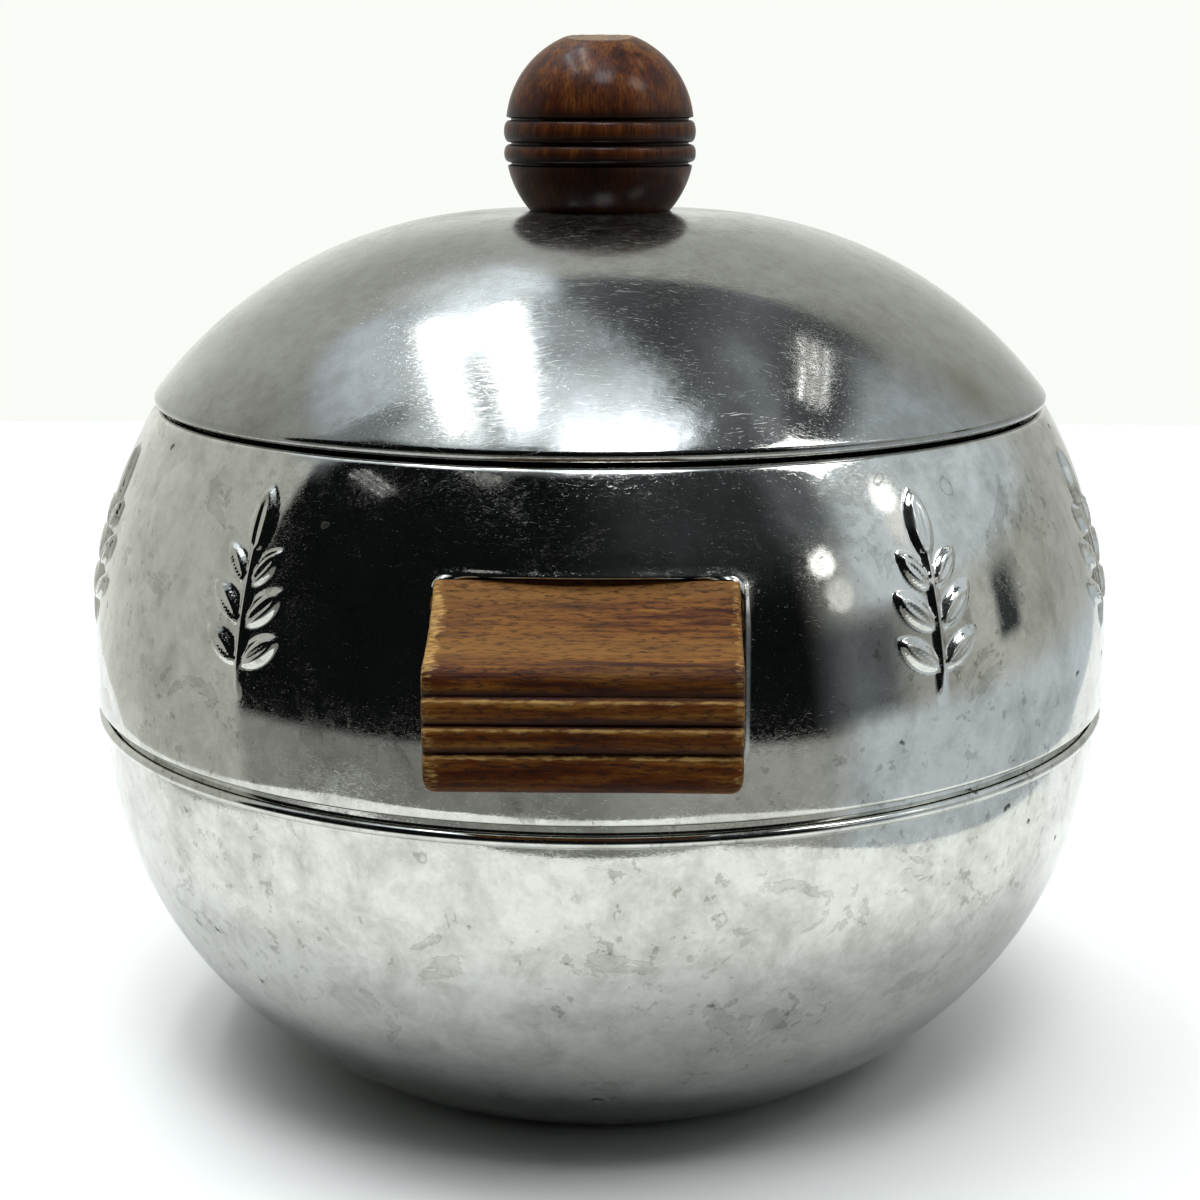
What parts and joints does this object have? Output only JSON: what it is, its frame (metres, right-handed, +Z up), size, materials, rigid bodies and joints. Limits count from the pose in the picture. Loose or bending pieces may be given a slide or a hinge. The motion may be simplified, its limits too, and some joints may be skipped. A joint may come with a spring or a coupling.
{
  "type": "ice bucket",
  "caption": "Round insulated metal ice bucket: seamed band and bowl, scooped and ribbed wooden side handles, and a lift-off domed lid with a grooved wooden knob.",
  "frame": {"origin": "centre of the flat foot ring, on the surface that the bucket stands on", "axes": "+Z up, the way the lid lifts; the handles lie on the Y axis, the front one towards -Y; +X to the right seen from the front handle"},
  "size_m": [0.2032, 0.235, 0.203],
  "materials": {
    "polished_chrome": "polished, hazed with age",
    "satin_chrome": "satin, finely scratched",
    "liner_metal": "spun",
    "insulation": "matte glass wool",
    "handle_wood": "worn oiled walnut",
    "knob_wood": "varnished walnut",
    "fastener_steel": "zinc plated"
  },
  "bodies": {
    "bucket": {"outer_bowl": "polished_chrome", "body_band": "polished_chrome", "inner_liner": "liner_metal", "insulation_jacket": "insulation", "insulation_base": "insulation", "handle_front": "handle_wood", "handle_front_screw_left": "fastener_steel", "handle_front_screw_right": "fastener_steel", "handle_front_washer_left": "fastener_steel", "handle_front_washer_right": "fastener_steel", "handle_back": "handle_wood", "handle_back_screw_left": "fastener_steel", "handle_back_screw_right": "fastener_steel", "handle_back_washer_left": "fastener_steel", "handle_back_washer_right": "fastener_steel"},
    "lid": {"lid_dome": "satin_chrome", "lid_liner": "liner_metal", "lid_insulation": "insulation", "lid_knob": "knob_wood", "knob_screw": "fastener_steel", "knob_washer": "fastener_steel"}
  },
  "joints": [
    {"name": "lid_lift", "type": "slide", "parent": "bucket", "child": "lid", "axis": [0, 0, 1], "range_m": [0, 0.15]}
  ]
}
